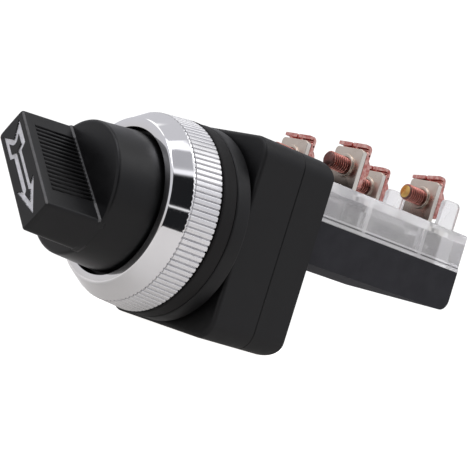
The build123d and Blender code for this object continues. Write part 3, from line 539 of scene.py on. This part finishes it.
def build_locking_ring():
    """The chrome ring: lip, rounded nose, mirror band, then the knurl, whose radius falls in narrow valleys.

    Along each groove's share of the turn, from -0.5 to 0.5, the valley is deepest at zero and ends at 0.2."""
    sizes = bpy.context.scene.switch_sizes
    bore, share = 14.85, 14
    line = rounded_line([(14.4, -9.4), (14.4, -10.4), (16.2, -10.4), (18.5, -6.72), (18.56, -6.4), (19.2, -0.62),
                         (18.9, -0.3), (bore, -0.3)], [0.15, 0.45, 0.42, 0.15, 0.1, 0.12], 6)
    k = int(np.argmax(np.diff(line[:, 1])))
    steps = line[k] + (line[k + 1] - line[k]) * np.linspace(0, 1, 7)[1:-1, None]
    line = np.vstack([line[:k + 1], steps, line[k + 1:], (bore, -9.4)])
    columns = sizes.teeth * share
    phase = (np.arange(columns) / share + 0.5) % 1 - 0.5
    valley = np.clip(1 - np.abs(phase) / 0.2, 0, 1)
    on = smooth(-6.75, -6.3, line[:, 1]) * (line[:, 0] > 18.3)
    grid = turned_grid(line, columns)
    shrink = 1 - sizes.knurl_depth / MM * on[:, None] * valley[None, :] / line[:, :1]
    grid[..., 0] *= shrink
    grid[..., 2] *= shrink
    piece = put_mesh("knurled_ring", [skin(grid, "wrap", "wrap")], finishes()["Chrome plate"])
    x, y, z = face_middles(piece)
    phase = (np.degrees(np.arctan2(z, x)) / 360 * sizes.teeth + 0.5) % 1 - 0.5
    knurl = (y > -6.45) & (np.hypot(x, z) > 17)
    paint_faces(piece, knurl, finishes()["Chrome knurl"])
    # The knurl's grooves get a painted shade.
    paint_faces(piece, knurl & (np.abs(phase) < 0.12), finishes()["Chrome valley"])
    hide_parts("locking_ring")
    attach(piece, "ring")


def build_collars():
    """The rubber gasket and the black spacer behind it, each a turned ring with rounded rims."""
    material, bore = finishes(), 14.9
    rings = (("panel_gasket", "gasket", "rubber", "Seal rubber", 19.28, 19.28, 0.0, 3.18),
             ("spacer_collar", "spacer_ring", "body_plastic", "Body moulding", 19.38, 19.52, 3.22, 6.5))
    for name, node, slot, finish, front_r, rear_r, y0, y1 in rings:
        middle = (y0 + y1) / 2
        line = rounded_line([(bore, middle), (bore, y0), (front_r, y0), (rear_r, y1), (bore, y1), (bore, middle + 0.1)],
                            [0.1, 0.42, 0.35, 0.1], 7)
        piece = put_mesh(name, [skin(turned_grid(line, 200), "wrap", "wrap")], material[finish])
        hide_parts(node)
        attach(piece, "housing")


def thread_grid(x, z, radius, y0, y1):
    """A screw's shank: ridges climb a pitch each turn from a chamfered flat tip."""
    sizes = bpy.context.scene.switch_sizes
    columns, rows_a_pitch, chamfer = 48, 12, 0.4
    pitch = sizes.pitch / MM
    y = np.linspace(y0, y1, int((y1 - y0) / pitch * rows_a_pitch))[:, None]
    angle = np.arange(columns)[None, :] * 2 * np.pi / columns
    phase = ((y - y0) / pitch + angle / (2 * np.pi)) % 1.0
    ridge = smooth(0.3, 0.95, np.abs(2 * phase - 1))
    r = radius - sizes.thread_depth / MM * (1 - ridge)
    return around_axis(np.minimum(r, radius - chamfer + (y - y0)), y, angle, x, z)


def screw_head_grid(x, z, r, seat, turn):
    """A pan head: flat seat, upright rim, domed top, and a crossed recess, turned by an angle, pressed into it.

    The dome falls by a power of the radius, and is lifted near the rim so that it meets the rim's rounding."""
    columns, slot_half, slot_reach = 96, 0.42, 2.3
    height = HEAD_HEIGHT - 0.02
    rim = rounded_line([(0.4, seat), (r, seat), (r, seat + 0.72 * height), (0.0, seat + 1.12 * height)],
                       [0.12, 0.55], 7)[:-1]
    rim_r, rim_y = rim[-1]
    radius = np.linspace(rim_r, 0.05, 34)[1:]
    lift = rim_y - (seat + height * (1.0 - 0.18 * (rim_r / r) ** 2.2))
    top_y = seat + height * (1.0 - 0.18 * (radius / r) ** 2.2) + lift * (radius / rim_r) ** 6
    grid = turned_grid(np.concatenate([rim, np.stack([radius, top_y], 1)]), columns, x, z)
    a = (grid[..., 0] - x) * np.cos(turn) + (grid[..., 2] - z) * np.sin(turn)
    b = -(grid[..., 0] - x) * np.sin(turn) + (grid[..., 2] - z) * np.cos(turn)
    arm_a = np.maximum(np.abs(a) - slot_reach, np.abs(b) - slot_half)
    arm_b = np.maximum(np.abs(b) - slot_reach, np.abs(a) - slot_half)
    on_top = (np.arange(len(grid)) >= len(rim))[:, None]
    grid[..., 1] -= on_top * 0.55 * height * (1 - smooth(-0.16, 0.02, np.minimum(arm_a, arm_b)))
    return grid


def build_terminal_screws():
    """Four cross-slotted screws with real threads, each turned to its own angle. Their shanks get a darker copper and
    their valleys a darker one still, as painted shade. The rear two have bare brass tips, and the front two tips are
    painted dark as shade.
    """
    material = finishes()
    turns = {"front_left": 0.5, "front_right": 1.15, "rear_left": 0.2, "rear_right": 0.85}
    for place, turn in turns.items():
        low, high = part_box("terminal_screw_" + place)
        x, z, r = (low.x + high.x) / 2 / MM, (low.z + high.z) / 2 / MM, (high.x - low.x) / 2 / MM
        tip, seat, shank_r = low.y / MM, high.y / MM - HEAD_HEIGHT, r / 2
        shells = [skin(thread_grid(x, z, shank_r, tip, seat)), skin(screw_head_grid(x, z, r, seat, turn))]
        piece = put_mesh("binding_screw_" + place, shells, material["Copper flash"], creased=55)
        face_x, face_y, face_z = face_middles(piece)
        far = np.hypot(face_x - x, face_z - z)
        # The shank gets a darker copper as painted shade.
        paint_faces(piece, (far < shank_r + 0.01) & (face_y < seat), material["Copper thread"])
        # Painted shade: the valleys darker still, and the front tips dark.
        paint_faces(piece, (far < shank_r - 0.2) & (face_y < seat), material["Copper valley"])
        paint_faces(piece, face_y < tip + 0.02, material["Brass edge" if "rear" in place else "Copper valley"])
        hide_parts("terminal_screw_" + place)
        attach(piece, "clamp_" + place)


def plate_grid(outline_x, outline_z, y0, y1, r, hole, middle):
    """A plate across Y round a hole: rows run over the outline, drawn in towards the middle by a quarter circle of
    radius r at each face, and then along the hole's rim."""
    mx, mz = middle
    dx, dz = outline_x - mx, outline_z - mz
    far = np.hypot(dx, dz)
    a = np.linspace(0, np.pi / 2, 4)
    pull = np.concatenate([r * (1 - np.sin(a)), r * (1 - np.cos(a))])
    y = np.concatenate([y0 + r * (1 - np.cos(a)), y1 - r * (1 - np.sin(a))])
    scale = 1 - pull[:, None] / far[None, :]
    rows_x, rows_z = mx + dx * scale, mz + dz * scale
    grid = np.stack([rows_x, np.broadcast_to(y[:, None], rows_x.shape), rows_z], -1)
    hx, hz = mx + dx / far * hole, mz + dz / far * hole
    ends = np.stack([np.stack([hx, np.full_like(hx, v), hz], -1) for v in (y1, y0)])
    return np.concatenate([grid, ends])


def rounded_rectangle(x0, x1, z0, z1, r, steps=6, along=10):
    """A rectangle's outline, anticlockwise: a quarter circle at each corner, then points along the side to the next."""
    corners = np.array([(x1 - r, z1 - r), (x0 + r, z1 - r), (x0 + r, z0 + r), (x1 - r, z0 + r)])
    w = np.linspace(0, 1, along)[1:-1, None]
    out = []
    for k in range(4):
        a = np.linspace(0, np.pi / 2, steps) + k * np.pi / 2
        arc = corners[k] + r * np.stack([np.cos(a), np.sin(a)], 1)
        out += [arc, arc[-1] + w * (corners[(k + 1) % 4] - corners[k])]
    return np.vstack(out).T


def build_clamp_washers():
    """Four square washers: a rounded plate round the screw with two lips folded forward over the terminal's edge."""
    material = finishes()
    lip_thick, lip_bend, lip_z = 0.75, 0.6, 26.42
    for place, x, y in TERMINALS:
        front, rear = y + STRIP + 0.05, y + 2.45
        outline = rounded_rectangle(x - WASHER_HALF, x + WASHER_HALF, SCREW_Z - WASHER_HALF, SCREW_Z + WASHER_HALF, 0.7)
        shells = [skin(plate_grid(*outline, front, rear, 0.22, 1.9, (x, SCREW_Z)), "wrap", "wrap")]
        bend = np.radians(np.linspace(0, 90, 9))
        back = rear - 0.38
        arc = np.stack([back - lip_bend + lip_bend * np.cos(bend), lip_z - lip_bend + lip_bend * np.sin(bend)], 1)
        path = np.vstack([(back, 24.6), arc, (front - 0.88, lip_z)])
        for low, high in ((x - WASHER_HALF, x - 0.25), (x + 0.25, x + WASHER_HALF)):
            shells.append(skin(strip_grid(path, low, high, lip_thick, 0.16, 5)))
        turn = np.radians(5.0 if place == "rear_right" else 0.0)
        points, quads, fans = join(shells)
        dx, dz = points[:, 0] - x, points[:, 2] - SCREW_Z
        points[:, 0] = x + dx * np.cos(turn) - dz * np.sin(turn)
        points[:, 2] = SCREW_Z + dx * np.sin(turn) + dz * np.cos(turn)
        piece = put_mesh("square_washer_" + place, [(points, quads, fans)], material["Copper flash"], creased=55)
        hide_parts("clamp_washer_" + place)
        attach(piece, "clamp_" + place)


def strip_grid(path, x0, x1, thick, r, steps=3):
    """A flat strip carried along a bent path in Y and Z: a rounded section square to the path at each point."""
    path = np.asarray(path, float)
    ahead = np.gradient(path, axis=0)
    ahead /= np.linalg.norm(ahead, axis=1)[:, None]
    across = np.stack([-ahead[:, 1], ahead[:, 0]], 1)
    half, half_thick = (x1 - x0) / 2, thick / 2
    side, up = rounded_rectangle(-half, half, -half_thick, half_thick, r, steps, 2)
    y = path[:, :1] + across[:, :1] * up
    z = path[:, 1:] + across[:, 1:] * up
    return np.stack([(x0 + x1) / 2 + side + 0 * y, y, z], -1)


def build_terminals():
    """Four terminals: upright plate, drawn collar, foot bent back under the cover, and leg down to the contact."""
    material, half, bore = finishes(), 4.1, 1.8
    for place, x, y in TERMINALS:
        leg = y + 5.2
        outline = rounded_rectangle(x - half, x + half, 15.4, 25.6, 0.8)
        plate = plate_grid(*outline, y, y + STRIP, 0.15, bore, (x, SCREW_Z))
        bend = [(y + 0.6, 16.8), (y + 0.62, 16.2), (y + 0.8, 15.8), (y + 1.2, 15.62), (y + 1.8, 15.6),
                (leg - 0.6, 15.6), (leg, 15.5), (leg + 0.45, 15.2), (leg + 0.58, 14.8), (leg + 0.6, 14.2),
                (leg + 0.6, 8.85)]
        foot = strip_grid(bend[:7], x - half, x + half, STRIP, 0.12)
        low = strip_grid(bend[5:], x - 2.9, x + 2.9, STRIP, 0.12)
        collar = rounded_line([(bore, y + 0.6), (bore, y - 0.5), (2.45, y - 0.5), (2.45, y), (2.8, y + 0.2),
                               (bore, y + 0.6)], [0.1, 0.2, 0.2, 0.1], 6)
        ends = sorted((x, np.sign(x) * 14.1))
        tab = rounded_block_grid((ends[0], y + STRIP, 15.0), (ends[1], y + 3.0, 16.2), 0.15)
        shells = [skin(plate, "wrap", "wrap"), skin(foot), skin(low), skin(tab),
                  skin(turned_grid(collar, 64, x, SCREW_Z), "wrap", "wrap")]
        piece = put_mesh("contact_plate_" + place, shells, material["Terminal strip"], creased=50)
        away = np.abs(face_middles(piece)[0] - x)
        paint_faces(piece, (away > half - 0.07) & (away < half + 0.1), material["Cut edge"])
        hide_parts("terminal_" + place)
        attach(piece, "housing")


def coil_grid(radius, wire, turns, y0, y1, z):
    """A compression spring along Y: a round wire carried up a helix whose end turns lie flat."""
    w = np.linspace(0, 1, int(turns * 40))
    flat = 0.5 / turns
    climb = np.interp(w, [0, flat, 1 - flat, 1], [0, 0.06, 0.94, 1])
    angle = 2 * np.pi * turns * w
    middle = around_axis(radius, y0 + wire / 2 + (y1 - y0 - wire) * climb, angle, z=z)
    ahead = np.gradient(middle, axis=0)
    ahead /= np.linalg.norm(ahead, axis=1)[:, None]
    out = around_axis(1.0, 0.0, angle)
    side = np.cross(ahead, out)
    ring = (np.arange(12) * 2 * np.pi / 12)[:, None]
    return middle[:, None] + wire / 2 * (out[:, None] * np.cos(ring) + side[:, None] * np.sin(ring))


def build_springs():
    """The three coil springs inside the block, as smooth round wire."""
    springs = (("nc_spring", "opening_spring", "plunger", 1.6, 0.4, 5, 44.25, 50.4, 11.5),
               ("no_spring", "closing_spring", "plunger", 1.6, 0.4, 5, 53.35, 59.5, 11.5),
               ("return_spring", "slider_spring", "housing", 2.3, 0.5, 3.5, 63.02, 68.18, 9.0))
    for node, name, body, radius, wire, turns, y0, y1, z in springs:
        piece = put_mesh(name, [skin(coil_grid(radius, wire, turns, y0, y1, z))], finishes()["Spring steel"])
        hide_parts(node)
        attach(piece, body)
        if body == "housing":
            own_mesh(piece)


# Panels of the surround, each over those before it: azimuth, elevation, half width, half height and edge softness in
# degrees, and colour.
PANELS = (
    (62, 17, 22, 30, 2.5, (0.012, 0.0125, 0.014)),
    (62, 11, 22, 1.0, 1.0, (0.9, 0.9, 0.92)),
    (62, 66, 60, 12, 3.0, (0.42, 0.42, 0.45)),
    (62, 50, 60, 2.4, 1.4, (1.0, 1.0, 1.05)),
    (62, 79, 90, 4.0, 1.5, (1.15, 1.15, 1.2)),
    (-171, 51, 11.0, 18, 2.5, (0.06, 0.06, 0.065)),
    (174, 52, 7.0, 18, 3.0, (0.08, 0.08, 0.085)),
    (-4, 60, 22, 16, 7.0, (3.0, 3.0, 3.2)),
    (-66, 50, 30, 8, 3.0, (1.4, 1.4, 1.4)),
    (-130, 8, 25, 9.0, 2.5, (1.25, 1.25, 1.28)),
    (-130, -6.2, 16, 4.6, 1.0, (0.05, 0.05, 0.05)),
)

# The CAD pieces that stay, by their finish.
KEPT_NODES = {
    "Body moulding": ("front_housing", "rear_housing"),
    "Base moulding": ("block_base",),
    "Clear moulding": ("block_cover",),
    "Carrier moulding": ("cam", "slider"),
    "Seal rubber": ("knob_seal",),
    "Spring steel": ("detent_spring",),
    "Contact silver": ("nc_bridge", "no_bridge", "fixed_contacts"),
    "Zinc steel": ("housing_screws", "spindle", "thrust_washer", "cam_washer", "cam_screw", "block_screws"),
}


def dress_nodes():
    """Gives each CAD piece that stays its own finish."""
    for finish, nodes in KEPT_NODES.items():
        for node in nodes:
            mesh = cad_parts[node].data
            mesh.materials.clear()
            mesh.materials.append(finishes()[finish])


def view_matrix():
    """The photograph's viewpoint: back points from the aim to the camera, and the level directions are then rolled."""
    a, e, r = np.radians(CAMERA_TURN)
    back = np.array([np.sin(a) * np.cos(e), -np.cos(a) * np.cos(e), np.sin(e)])
    level = np.array([np.cos(a), np.sin(a), 0.0])
    up = np.cross(back, level)
    right = np.cos(r) * level + np.sin(r) * up
    top = -np.sin(r) * level + np.cos(r) * up
    aside, above, behind = CAMERA_OFFSET
    matrix = Matrix(np.column_stack([right, top, back]).tolist()).to_4x4()
    matrix.translation = Vector((back * behind + right * aside + top * above + CAMERA_AIM) * MM)
    return matrix


def build_camera():
    """A camera whose lens gives the photograph's focal length on a square picture."""
    camera = bpy.data.cameras.new("Photo camera")
    camera.sensor_width = SENSOR
    camera.lens = FOCAL_LENGTH / PICTURE_SIDE * SENSOR
    camera.clip_start = 0.01
    camera.clip_end = 20.0
    holder = bpy.data.objects.new("Photo camera", camera)
    holder.matrix_world = view_matrix()
    bpy.context.collection.objects.link(holder)
    bpy.context.scene.camera = holder


def softbox(name, place, aim, side, power):
    """One square area light that looks at a point. Places and its side are in metres."""
    light = bpy.data.lights.new(name, "AREA")
    light.shape = "RECTANGLE"
    light.size = light.size_y = side
    light.energy = power
    holder = bpy.data.objects.new(name, light)
    place, aim = Vector(place), Vector(aim)
    holder.matrix_world = Matrix.Translation(place) @ (place - aim).to_track_quat("Z", "Y").to_matrix().to_4x4()
    bpy.context.collection.objects.link(holder)


def build_world(strength):
    """A pale surround with the dark room behind the camera and bright panels over it, for chrome and black to show.

    A panel covers what was there by the product of two soft bands, one over azimuth and one over elevation. The camera
    itself sees plain white."""
    world = bpy.data.worlds.new("Pale surround")
    bpy.context.scene.world = world
    world.use_nodes = True
    tree = world.node_tree
    tree.nodes.clear()
    split = add_node(tree, "SeparateXYZ", {0: add_node(tree, "TexCoord").outputs["Generated"]})
    forward = add_node(tree, "Math", {0: split.outputs["Y"], 1: -1.0}, operation="MULTIPLY").outputs[0]
    azimuth = add_node(tree, "Math", {0: split.outputs["X"], 1: forward}, operation="ARCTAN2").outputs[0]
    elevation = add_node(tree, "Math", {0: split.outputs["Z"]}, operation="ARCSINE").outputs[0]
    level = add_node(tree, "MapRange", {"Value": split.outputs["Z"], "From Min": -1.0}).outputs[0]
    colour = tone_ramp(tree, level, ((0.42, (0.57, 0.55, 0.54)), (0.58, (0.6, 0.6, 0.635))))
    for turn, rise, half_turn, half_rise, soft, tone in PANELS:
        across, upwards = (
            soft_band(tree, angle, *np.radians((middle, half - soft, half + soft)))
            for angle, middle, half in ((azimuth, turn, half_turn), (elevation, rise, half_rise)))
        both = add_node(tree, "Math", {0: across, 1: upwards}, operation="MULTIPLY").outputs[0]
        colour = mix_colours(tree, both, colour, (*tone, 1))
    lit = add_node(tree, "Background", {"Color": colour, "Strength": strength}).outputs[0]
    white = add_node(tree, "Background", {"Color": (1, 1, 1, 1), "Strength": 1.1}).outputs[0]
    seen = add_node(tree, "LightPath").outputs["Is Camera Ray"]
    mix = add_node(tree, "MixShader", {0: seen, 1: lit, 2: white})
    add_node(tree, "OutputWorld", {"Surface": mix.outputs[0]})


def build_floor():
    """A small round pale floor under the switch: a polar grid in X and Y whose rim drops off. Its own light is stronger
    for the camera, which so sees it white."""
    angle = np.arange(96) * 2 * np.pi / 96
    radius = np.array([4.0, 30, 60, 90, 120, 124, 124, 120])[:, None]
    level = np.array([-20.03] * 5 + [-20.5, -23.0, -23.5])[:, None]
    grid = np.stack([radius * np.cos(angle), 30 + radius * np.sin(angle), level + 0 * angle], -1)
    material = finish_material("Pale floor", (0.4, 0.39, 0.385), (0.42, 0.41, 0.405), (0.6, 0.7), patch=5, relief=0.0,
                               Emission_Color=(1, 0.975, 0.96, 1))
    tree = material.node_tree
    seen = add_node(tree, "LightPath").outputs["Is Camera Ray"]
    lift = add_node(tree, "Math", {0: seen, 1: 0.7, 2: 0.32}, operation="MULTIPLY_ADD")
    tree.links.new(lift.outputs[0], node_of(tree, "BSDF_PRINCIPLED").inputs["Emission Strength"])
    put_mesh("studio_floor", [skin(grid)], material, creased=30)


def colour_value(name, description, default):
    """A colour that a user may change."""
    return FloatVectorProperty(name=name, description=description, default=default, min=0, max=1, subtype="COLOR",
                               size=3)


def length_value(name, description, default, low, high):
    """A length, in metres, that a user may change."""
    return FloatProperty(name=name, description=description, default=default, min=low, max=high, unit="LENGTH",
                         precision=5)


class SwitchFinish(bpy.types.PropertyGroup):
    """Colours that a user would change."""

    moulding: colour_value("Moulding", "Colour of the black plastic pieces", (0.0045, 0.0045, 0.005))
    copper: colour_value("Copper", "Colour of the screws and washers", (0.9, 0.55, 0.49))
    clear: colour_value("Cover", "Colour of the milky cover", (0.97, 0.96, 0.98))


class SwitchSizes(bpy.types.PropertyGroup):
    """Sizes of the fine detail."""

    teeth: IntProperty(name="Knurl grooves", description="Grooves round the locking ring", default=104, min=20, max=140)
    knurl_depth: length_value("Knurl depth", "Depth of the grooves in the locking ring", 0.00034, 0, 0.001)
    rib_depth: length_value("Rib depth", "Depth of the grooves in the grip bar", 0.00048, 0, 0.001)
    arrow_line: length_value("Arrow line", "Width of the pointer's line", 0.00095, 0.0003, 0.0011)
    pitch: length_value("Thread pitch", "Distance between the screws' ridges", 0.0006, 0.0003, 0.002)
    thread_depth: length_value("Thread depth", "Height of the screws' ridges", 0.00042, 0, 0.0006)


class SwitchStudio(bpy.types.PropertyGroup):
    """Light levels of the studio."""

    surround: FloatProperty(
        name="Surround", description="Brightness of the pale surround", default=1.0, min=0, max=5)
    key: FloatProperty(
        name="Key light", description="Power of the large softbox above and behind", default=0.52, min=0, unit="POWER")
    fill: FloatProperty(
        name="Fill light", description="Power of the softbox above and on the right", default=0.2, min=0, unit="POWER")


class SWITCH_OT_stage(bpy.types.Operator):
    """Puts up the camera, the surround, the floor and the softboxes"""

    bl_idname = "switch.stage"
    bl_label = "Stage"

    def execute(self, context):
        studio = context.scene.switch_studio
        build_camera()
        build_world(studio.surround)
        build_floor()
        softbox("Key softbox", (0.12, 0.215, 0.547), (0, 0, 0), 0.46, studio.key)
        softbox("Fill softbox", (0.36, 0.07, 0.479), (0, 0.04, 0), 0.4, studio.fill)
        context.scene.view_settings.view_transform = "Standard"
        return {"FINISHED"}


class SWITCH_OT_nodes(bpy.types.Operator):
    """Gives the CAD pieces that stay their finishes"""

    bl_idname = "switch.nodes"
    bl_label = "CAD pieces"

    def execute(self, context):
        dress_nodes()
        return {"FINISHED"}


class SWITCH_OT_grip(bpy.types.Operator):
    """Builds the knob with its ribs and its arrow"""

    bl_idname = "switch.grip"
    bl_label = "Knob"

    def execute(self, context):
        build_grip()
        return {"FINISHED"}


class SWITCH_OT_ring(bpy.types.Operator):
    """Builds the knurled chrome ring"""

    bl_idname = "switch.ring"
    bl_label = "Locking ring"

    def execute(self, context):
        build_locking_ring()
        return {"FINISHED"}


class SWITCH_OT_collars(bpy.types.Operator):
    """Builds the gasket and the spacer"""

    bl_idname = "switch.collars"
    bl_label = "Collars"

    def execute(self, context):
        build_collars()
        return {"FINISHED"}


class SWITCH_OT_terminals(bpy.types.Operator):
    """Builds the four contact plates"""

    bl_idname = "switch.terminals"
    bl_label = "Terminals"

    def execute(self, context):
        build_terminals()
        return {"FINISHED"}


class SWITCH_OT_washers(bpy.types.Operator):
    """Builds the four square clamp washers"""

    bl_idname = "switch.washers"
    bl_label = "Washers"

    def execute(self, context):
        build_clamp_washers()
        return {"FINISHED"}


class SWITCH_OT_screws(bpy.types.Operator):
    """Builds the four terminal screws"""

    bl_idname = "switch.screws"
    bl_label = "Screws"

    def execute(self, context):
        build_terminal_screws()
        return {"FINISHED"}


class SWITCH_OT_springs(bpy.types.Operator):
    """Builds the coil springs in the block"""

    bl_idname = "switch.springs"
    bl_label = "Springs"

    def execute(self, context):
        build_springs()
        return {"FINISHED"}


OPERATORS = (SWITCH_OT_stage, SWITCH_OT_nodes, SWITCH_OT_grip, SWITCH_OT_ring, SWITCH_OT_collars, SWITCH_OT_terminals,
             SWITCH_OT_washers, SWITCH_OT_screws, SWITCH_OT_springs)


class SWITCH_PT_panel(bpy.types.Panel):
    """Lists the operators and the values that they read."""

    bl_label = "Selector switch"
    bl_space_type = "VIEW_3D"
    bl_region_type = "UI"
    bl_category = "Switch"

    def draw(self, context):
        for cls in OPERATORS:
            self.layout.operator(cls.bl_idname)
        for group in (context.scene.switch_finish, context.scene.switch_sizes, context.scene.switch_studio):
            for key in group.__annotations__:
                self.layout.prop(group, key)


CLASSES = (SwitchFinish, SwitchSizes, SwitchStudio, *OPERATORS, SWITCH_PT_panel)


def register():
    """Registers the classes and hangs the three groups of values on the scene."""
    for cls in CLASSES:
        bpy.utils.register_class(cls)
    bpy.types.Scene.switch_finish = PointerProperty(type=SwitchFinish)
    bpy.types.Scene.switch_sizes = PointerProperty(type=SwitchSizes)
    bpy.types.Scene.switch_studio = PointerProperty(type=SwitchStudio)


def unregister():
    """Undoes register, last first."""
    del bpy.types.Scene.switch_studio
    del bpy.types.Scene.switch_sizes
    del bpy.types.Scene.switch_finish
    for cls in reversed(CLASSES):
        bpy.utils.unregister_class(cls)


def main():
    """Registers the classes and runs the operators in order."""
    register()
    for cls in OPERATORS:
        getattr(bpy.ops.switch, cls.bl_idname.removeprefix("switch."))()


if __name__ == "__main__":
    main()
